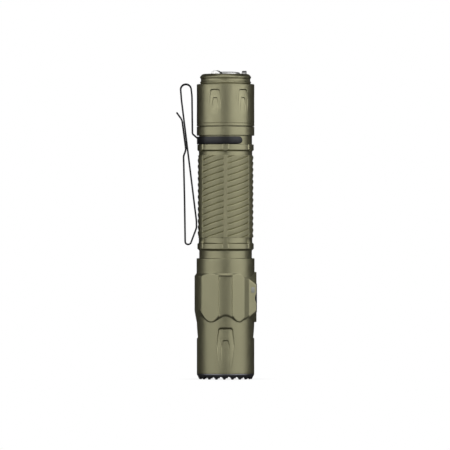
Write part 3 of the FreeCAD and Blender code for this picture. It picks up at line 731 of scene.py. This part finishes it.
def make_tube_grip():
    """
    Grip: sloping saw-tooth bands with fine upright grooves, in six panels between plain strips.
    The two panels at the sides are cut deeper.
    The rows of faces follow the bands round the tube, and stop at the panels' level ends.
    """
    low, high = GRIP_Z
    columns = MICRO_GROOVES * 4
    strip_half = math.radians(4.4)
    lift = 0.05
    rise = BAND_STARTS * BAND_PITCH
    row_z = np.array([0.0, 0.12, 0.2, 0.9, 1.6, 2.1, 2.26, 2.32, 2.52, 2.62])
    shallow = np.array([11.9, 12.32, 12.43, 12.5, 12.56, 12.595, 12.6, 12.58, 12.02, 11.9])
    deep = np.array([11.8, 11.98, 12.04, 12.25, 12.43, 12.55, 12.6, 12.58, 11.95, 11.8])
    bands = int((high - low) / BAND_PITCH) + 2
    row = np.arange(-(BAND_STARTS + 1) * len(row_z), bands * len(row_z))
    band_z = low + BAND_PHASE + BAND_PITCH * (row // len(row_z)) + row_z[row % len(row_z)]
    angle = np.arange(columns) * TURN / columns
    z = band_z[:, None] + rise * angle[None, :] / TURN
    z = np.clip(z, low + lift, high - lift)

    def radius(turned, height):
        along = (height - low - BAND_PHASE - rise * turned / TURN) % BAND_PITCH
        at_side = np.floor(turned * PANELS / TURN) % (PANELS / 2) == 1
        band = [np.interp(along, np.append(row_z, BAND_PITCH), np.append(row_r, row_r[0]))
                for row_r in (shallow, deep)]
        micro = 0.07 * (1 - np.abs((turned * MICRO_GROOVES / TURN) % 1.0 - 0.5) * 2)
        band = np.where(at_side, band[1] - micro * step((band[1] - 11.95) / 0.1),
                        band[0] - micro * step((band[0] - 12.2) / 0.2))
        from_strip = np.abs((turned + TURN / PANELS / 2) % (TURN / PANELS) - TURN / PANELS / 2)
        inside = step((from_strip - strip_half) * GRIP_R / 0.18 + 0.5)
        return GRIP_R + (band - GRIP_R) * inside

    r = radius(np.broadcast_to(angle, z.shape), z)
    level = np.ones(columns)
    # Every column ends in one point at each end; the rings below close the wall of the tube.
    grid = np.arange(z.size).reshape(z.shape)
    first = (z > low + lift + 0.02).argmax(0) - 1
    last = len(z) - (z < high - lift - 0.02)[::-1].argmax(0)
    line = np.arange(len(z))[:, None]
    grid = np.where(line <= first, grid[first, np.arange(columns)], grid)
    grid = np.where(line >= last, grid[last, np.arange(columns)], grid)
    z[first, np.arange(columns)] = low + lift
    z[last, np.arange(columns)] = high - lift
    top = grid[-1]
    after = np.concatenate([grid[BAND_STARTS * len(row_z):, 0], np.full(BAND_STARTS * len(row_z), top[0])])
    beside = np.concatenate([grid[:, 1:], after[:, None]], 1)
    quads = [np.stack([grid[:-1], beside[:-1], beside[1:], grid[1:]], -1).reshape(-1, 4)]
    rings = [(RELIEF_R, high), (CELL_BORE_R, high), (CELL_BORE_R, low), (RELIEF_R, low)]
    loops = [top] + [z.size + np.arange(columns) + i * columns for i in range(4)] + [grid[0]]
    for below, above in zip(loops, loops[1:]):
        quads.append(np.stack([below, np.roll(below, -1), np.roll(above, -1), above], -1))
    r = np.concatenate([r] + [level[None] * ring[0] for ring in rings])
    z = np.concatenate([z] + [level[None] * ring[1] for ring in rings])
    around = np.broadcast_to(FRONT + angle, r.shape)
    points = np.stack([r * np.cos(around), r * np.sin(around), z], -1).reshape(-1, 3)
    piece = mesh_object("tube_grip", compact(points, np.concatenate(quads)), smooth=30.0)
    # The grip takes the copy of the olive anodising that is painted lighter.
    place(piece, MATERIALS["anodised_grip_painted_lighter"], "light", ["battery_tube"])


def make_tube_upper():
    """Tail end of the tube: upper knuckle ring, clip groove, flange, seal groove and thread."""
    seam = GRIP_Z[1]
    groove_low, groove_high, flange_high = 105.8, 109.8, 113.8
    solid = [(CELL_BORE_R, seam, 0), (RELIEF_R, seam, 0), (RELIEF_R, 102.7, 0.15), (RING_R, 103.25, 0.2),
             (RING_R, groove_low, 0.15), (CLIP_GROOVE_R, groove_low, 0.1), (CLIP_GROOVE_R, groove_high, 0.1),
             (CAP_R, groove_high, 0.2), (CAP_R, flange_high, 0.15), (RELIEF_R, flange_high),
             (RELIEF_R, 115.0), (11.35, 115.0), (11.35, 116.1), (RELIEF_R, 116.1), (RELIEF_R, 117.2),
             (THREAD_R, 117.4, 0),
             (THREAD_R, TUBE_HIGH, 0), (CELL_BORE_R, TUBE_HIGH, 0)]
    outline = rounded(solid, 0.1)
    outline = filled(outline, 0.12, (117.3, TUBE_HIGH), THREAD_R - 0.01)
    outline = filled(outline, 0.2, (102.3, groove_low), RELIEF_R - 0.1)
    edge = [(102.75, 0.65), (103.5, 1.35), (106.4, 1.35)]

    def worked(angle, r, z):
        r = threaded(angle, r, z, 117.5, TUBE_HIGH - 0.1)
        lugged = raise_lugs(angle, r, z, edge, 0.3)
        on_ring = (z > 102.5) & (z < groove_low - 0.01) & (r > RELIEF_R - 0.05)
        return np.where(on_ring, lugged, r), z

    piece = mesh_object("tube_upper", lathe(outline, 360, worked))
    place(piece, MATERIALS["anodised_tube"], "light", ["battery_tube"])


# ---------------------------------------------------------------- tail

def make_tail_cap():
    """Tail cap with six nested finger pockets and a two-ridged boss."""
    step_z = 133.0
    line_z = CAP_LOW + 1.45
    solid = [(12.15, CAP_LOW, 0), (CAP_R, CAP_LOW, 0.25), (CAP_R, line_z - 0.12, 0), (CAP_R - 0.1, line_z, 0),
             (CAP_R, line_z + 0.12, 0), (CAP_R, step_z, 0.35), (11.2, step_z, 0.1), (11.2, 133.2),
             (11.5, 133.5), (11.5, 134.0), (11.15, 134.4), (11.15, 135.4), (11.5, 135.8), (11.5, 136.3),
             (11.2, 136.75), (10.7, 137.3, 0.3), (10.0, CAP_HIGH), (9.6, CAP_HIGH, 0.05), (9.6, 131.7, 0),
             (11.3, 131.7, 0),
             (11.3, 123.9, 0), (12.0, 123.9, 0), (12.0, 117.4, 0), (12.15, 117.4, 0)]
    outline = filled(rounded(solid, 0.2), 0.15, (118.6, 131.4), CAP_R - 0.02)
    first = -111.8
    middles = [math.radians(first + 360 / PANELS * i) for i in range(PANELS)]
    around = directions(120, [(first + 360 / PANELS * i, 13.5) for i in range(PANELS)], 0.45)

    def pockets(angle, r, z):
        cut = arch(angle, r, z, middles, (130.6, 125.5, 119.0), (2.15, 2.75, 2.2), 0.45, 0.8, (0.3, 0.5))
        cut = arch(angle, cut, z, middles, (126.9, 123.5, 118.9), (1.0, 1.55, 1.3), 0.35, 0.4, (0.3, 0.35))
        return np.where((r > 12.9) & (z > 118) & (z < 132), cut, r), z

    piece = mesh_object("tail_cap_shell", lathe(outline, around, pockets))
    place(piece, MATERIALS["anodised_tube"], "tail_cap", ["tail_cap"])


def make_tail_guard():
    """Polished ring round the tail button with three rounded guards."""
    rim_z = 137.55
    hump_r = 2.9
    hump_z = GUARD_HIGH - hump_r
    solid = [(7.7, GUARD_LOW, 0), (11.2, GUARD_LOW, 0.1), (11.2, 131.75, 0.1), (9.5, 131.75, 0),
             (9.5, rim_z, 0.2), (7.56, rim_z, 0), (7.44, rim_z, 0), (6.55, rim_z, 0.2), (6.55, 134.5, 0.1),
             (7.7, 134.5, 0)]
    outline = filled(rounded(solid, 0.1), 0.25, (rim_z - 0.3, rim_z + 0.1), 7.3)

    def humps(angle, r, z):
        lift = np.zeros_like(z)
        for i in range(3):
            turned = wrap(angle - TURN * i / 3)
            aside = r * np.sin(turned)
            top = hump_z + np.sqrt(np.maximum(hump_r ** 2 - aside ** 2, 0.0))
            lift = np.maximum(lift, np.where(np.abs(turned) < 1.0, top - rim_z, 0.0))
        raised = (r > 7.5) & (z > rim_z - 0.3)
        return r, np.where(raised, z + np.maximum(lift, 0.0), z)

    piece = mesh_object("tail_guard_ring", lathe(outline, 300, humps))
    place(piece, MATERIALS["polished_steel"], "tail_cap", ["tail_guard"])


def make_tail_button():
    """Domed button with fine turned rings on top."""
    low = span("tail_button")[0][2]
    solid = [(0, low), (2.0, low, 0.1), (2.0, 133.7, 0), (7.5, 133.7, 0.05), (7.5, 134.42, 0.05),
             (6.48, 134.42, 0), (6.48, 138.15, 0.25), (5.7, 138.45, 0.3), (4.0, BUTTON_HIGH - 0.02, 0.5),
             (0, BUTTON_HIGH)]
    outline = filled(rounded(solid, 0.1, loop=False), 0.2, (138.3, 139.0), 0.0, loop=False)
    piece = mesh_object("tail_push_button", lathe(outline, 144, loop=False))
    place(piece, MATERIALS["polished_steel"], "tail_button", ["tail_button"])


def make_seals():
    """
    Rubber under the buttons. The side seal is squeezed, and the middle of the tail seal goes down with
    the tail button.
    """
    low, high = span("side_button_seal")
    ring = rounded([(1.56, low[0]), (high[1], low[0]), (high[1], high[0]), (1.56, high[0])], 0.1)
    piece = mesh_object("side_seal", along_x(lathe(ring, 96), SWITCH_Z))
    place(piece, MATERIALS["seal_rubber"], "light", ["side_button_seal"])
    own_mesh(piece)

    low, high = span("tail_button_seal")
    pad_r, gap, top, bottom = 2.4, 0.12, high[2], low[2]
    web = rounded([(pad_r + gap, bottom), (high[0], bottom), (high[0], top), (8.2, top), (7.8, top - 0.15),
                   (pad_r + gap, top - 0.15)], 0.1)
    piece = mesh_object("tail_seal_rim", lathe(web, 120))
    place(piece, MATERIALS["seal_rubber"], "tail_cap", ["tail_button_seal"])
    pad = rounded([(0, bottom + 0.2), (pad_r, bottom + 0.2), (pad_r, top), (0, top)], 0.12, loop=False)
    piece = mesh_object("tail_seal_pad", lathe(pad, 72, loop=False))
    place(piece, MATERIALS["seal_rubber"], "tail_button", ["tail_button_seal"])


# ---------------------------------------------------------------- clip

def bent_path(points, radii, arc_step):
    """Path with an arc at each corner, as points and the direction across each."""
    path = [np.array(points[0], float)]
    for i, radius in enumerate(radii):
        before, here, after = (np.array(p, float) for p in points[i:i + 3])
        into = (here - before) / np.linalg.norm(here - before)
        out = (after - here) / np.linalg.norm(after - here)
        turn = math.acos(np.clip(into @ out, -1, 1))
        setback = radius * math.tan(turn / 2)
        side = 1.0 if into[0] * out[1] - into[1] * out[0] > 0 else -1.0
        left = np.array([-into[1], into[0]])
        start = here - into * setback
        centre = start + left * side * radius
        count = max(2, int(math.degrees(turn) / arc_step) + 1)
        for k in range(count + 1):
            swing = side * turn * k / count
            spoke = start - centre
            turned = np.array([spoke[0] * math.cos(swing) - spoke[1] * math.sin(swing),
                               spoke[0] * math.sin(swing) + spoke[1] * math.cos(swing)])
            path.append(centre + turned)
    path.append(np.array(points[-1], float))
    path = np.array(path)
    ways = np.gradient(path, axis=0)
    ways = ways / np.linalg.norm(ways, axis=1)[:, None]
    return path, np.stack([-ways[:, 1], ways[:, 0]], -1)


def strip_section(half_width, half_thick, corner):
    """Rounded rectangle as a loop of (sideways, normal) points."""
    loop = []
    for quarter in range(4):
        centre = ((half_width - corner) * (1, -1, -1, 1)[quarter],
                  (half_thick - corner) * (1, 1, -1, -1)[quarter])
        for k in range(4):
            turn = TURN * (quarter + k / 3) / 4
            loop.append(np.array(centre) + corner * np.array([math.cos(turn), math.sin(turn)]))
    return loop


def make_clip():
    """Two-way spring clip: band, tall loop, inner arm, low loop and outer arm with a flared tip."""
    thick, width, corner = 0.75, 7.0, 0.16
    points = [(-12.5, 106.4), (-12.5, 108.5), (-14.95, 110.6), (-15.15, 127.5), (-15.75, 132.95),
              (-20.45, 132.95), (-19.9, 125.9), (-13.13, 71.3), (-13.12, 68.2), (-15.9, 60.75),
              (-18.2, 60.75), (-18.5, 80.8), (-18.95, 100.5), (-17.9, 103.5), (-19.65, 116.9), (-22.1, 120.3)]
    radii = [0.6, 1.2, 20.0, 2.35, 2.35, 12.0, 12.0, 3.0, 1.35, 1.3, 60.0, 2.0, 3.0, 4.0]
    path, across = bent_path(points, radii, 9.0)
    # The tip tapers and its end is rounded off.
    end = path[-1]
    way = (path[-1] - path[-2]) / np.linalg.norm(path[-1] - path[-2])
    tip_length = 1.8
    tip = [end - way * tip_length * (1 - k / 6) for k in range(7)]
    path = np.concatenate([path[:-1], tip])
    across = np.concatenate([across[:-1], [across[-1]] * len(tip)])
    sections = []
    for i, here in enumerate(path):
        half = width / 2
        on_tip = i >= len(path) - len(tip) - 4 and here[0] < -18.5 and here[1] > 112
        if on_tip:
            half = np.interp(here[1], [116.5, 119.0], [width / 2, 2.4])
            left = np.linalg.norm(end - here)
            half = half - 0.9 * (1 - math.sqrt(1 - (1 - min(left / 0.9, 1.0)) ** 2))
        sections.append(strip_section(half, thick / 2, corner))
    piece = mesh_object("spring_clip", sweep(path, across, sections))
    slot_half, slot_low, slot_high, cut_x = 1.1, 78.0, 98.0, (-20.6, -17.4)
    rim = []
    for k in range(25):
        turn = math.pi * k / 24
        rim.append((slot_half * math.cos(turn), slot_high + slot_half * math.sin(turn)))
    rim += [(-y, slot_low + slot_high - z) for y, z in rim]
    count = len(rim)
    slot_points = np.array([(x, y, z) for x in cut_x for y, z in rim])
    slot_faces = [(k, (k + 1) % count, (k + 1) % count + count, k + count) for k in range(count)]
    slot_faces += [tuple(reversed(range(count))), tuple(range(count, 2 * count))]
    combine(piece, (slot_points, slot_faces), "DIFFERENCE")
    # The spring band grips the groove, open towards the switch.
    band_in, band_thick, band_z, opening = 12.05, 0.9, (105.95, 109.35), 108.0
    half_span = math.radians((360.0 - opening) / 2)
    half_height = (band_z[1] - band_z[0]) / 2
    end_span = half_height / band_in
    from_end = [end_span * (1 - math.cos(math.pi / 2 * (k + 0.3) / 10.3)) for k in range(10)]
    plain = np.linspace(end_span, 2 * half_span - end_span, 110)
    rings = []
    for swing in from_end + plain.tolist() + [2 * half_span - s for s in reversed(from_end)]:
        turn = math.pi - half_span + swing
        short = max(1 - min(swing, 2 * half_span - swing) / end_span, 0.0)
        section = strip_section(max(half_height * math.sqrt(1 - short * short), 0.2), band_thick / 2, 0.14)
        for up, out in section:
            r = band_in + band_thick / 2 + out
            rings.append((r * math.cos(turn), r * math.sin(turn), (band_z[0] + band_z[1]) / 2 + up))
    size = len(section)
    index = np.arange(len(rings)).reshape(-1, size)
    low, high = index[:-1], index[1:]
    quads = np.stack([low, high, np.roll(high, -1, 1), np.roll(low, -1, 1)], -1).reshape(-1, 4)
    faces = [tuple(q) for q in quads.tolist()] + [tuple(index[0].tolist()), tuple(index[-1][::-1].tolist())]
    combine(piece, (np.array(rings), faces), "UNION")
    place(piece, MATERIALS["clip_steel"], "pocket_clip", ["pocket_clip"])


# ---------------------------------------------------------------- frame nodes that stay

def finish_nodes():
    """Every CAD node gets the material of its slot in the record."""
    for part in frame["record"]["subparts"]:
        node = frame["nodes"][part["node"]]
        material = MATERIALS[part["material_slot"]]
        if not node.material_slots:
            node.data.materials.append(material)
        for socket in node.material_slots:
            socket.material = material


# ---------------------------------------------------------------- stage

def make_stage():
    """Plain pale floor with a painted contact shadow round the light's foot, surroundings, and a camera in
    front of the light.
    """
    scene = bpy.context.scene
    scene.view_settings.view_transform = "Standard"
    mesh = bpy.data.meshes.new("floor")
    reach = 6.0
    corners = [(-reach, -reach, 0), (reach, -reach, 0), (reach, reach, 0), (-reach, reach, 0)]
    mesh.from_pydata(corners, [], [(0, 1, 2, 3)])
    floor = bpy.data.objects.new("floor", mesh)
    scene.collection.objects.link(floor)
    material, nodes, links, shader = node_tools("pale_floor")
    shader.inputs["Base Color"].default_value = (0.12, 0.12, 0.12, 1.0)
    shader.inputs["Roughness"].default_value = 0.9
    # Painted shadow: the floor's glow darkens to 0.8 where ambient occlusion finds the light close by, a
    # contact shadow round its foot.
    shadow = nodes.new("ShaderNodeAmbientOcclusion")
    shadow.inputs["Distance"].default_value = 0.012
    shadow.samples = 8
    pale = mixed(nodes, links, shadow.outputs["AO"], (0.80, 0.80, 0.80), (1.0, 1.0, 1.0))
    glow = nodes.new("ShaderNodeEmission")
    links.new(pale, glow.inputs["Color"])
    seen = nodes.new("ShaderNodeLightPath").outputs["Is Camera Ray"]
    choice = nodes.new("ShaderNodeMixShader")
    links.new(seen, choice.inputs["Fac"])
    links.new(shader.outputs["BSDF"], choice.inputs[1])
    links.new(glow.outputs["Emission"], choice.inputs[2])
    links.new(choice.outputs["Shader"], nodes["Material Output"].inputs["Surface"])
    mesh.materials.append(material)

    world = bpy.data.worlds.new("studio")
    scene.world = world
    world.use_nodes = True
    nodes, links = world.node_tree.nodes, world.node_tree.links
    background = nodes["Background"]
    seen = nodes.new("ShaderNodeLightPath").outputs["Is Camera Ray"]
    dim = 0.03
    links.new(mixed(nodes, links, seen, (dim, dim, dim), (1.0, 1.0, 1.0)), background.inputs["Color"])

    camera_data = bpy.data.cameras.new("camera")
    camera_data.sensor_width = 36.0
    distance = 2.5
    camera_data.lens = 177.3 * distance
    camera = bpy.data.objects.new("camera", camera_data)
    scene.collection.objects.link(camera)
    aim = Vector((-0.00025, 0.0, 0.0695))
    camera.location = aim + Vector((0.0, -distance, 0.0))
    camera.rotation_euler = (math.pi / 2, 0.0, 0.0)
    scene.camera = camera
    make_lights(camera, distance)


def make_lights(camera, distance):
    """Tall softboxes to the left and right, which stand with the camera, and a low fill from above."""
    # Each box: angle to the side, distance, angle up, width, height and power
    boxes = [(-54.0, 2.5, 0.0, 2.1, 3.8, 42.0), (54.0, 2.5, 0.0, 2.8, 3.8, 60.0),
             (0.0, 4.4, 0.0, 2.0, 3.6, 12.0), (0.0, 3.2, 62.0, 3.4, 2.0, 26.0)]
    bpy.context.view_layer.update()
    centre = Vector((0.0, 0.0, -distance))
    for i, (side, away, up, width, height, power) in enumerate(boxes):
        data = bpy.data.lights.new("softbox_%d" % i, "AREA")
        data.shape = "RECTANGLE"
        data.size = width
        data.size_y = height
        data.energy = power
        light = bpy.data.objects.new(data.name, data)
        bpy.context.scene.collection.objects.link(light)
        a, e = math.radians(side), math.radians(up)
        toward = Vector((math.sin(a) * math.cos(e), math.sin(e), math.cos(a) * math.cos(e)))
        light.parent = camera
        light.location = centre + toward * away
        light.rotation_euler = toward.to_track_quat("Z", "Y").to_euler()
        light.visible_camera = False


make_stage()
make_bezel()
make_barrel()
make_collar()
make_side_switch()
make_indicator()
make_tube_lower()
make_tube_grip()
make_tube_upper()
make_tail_cap()
make_tail_guard()
make_tail_button()
make_seals()
make_clip()
finish_nodes()
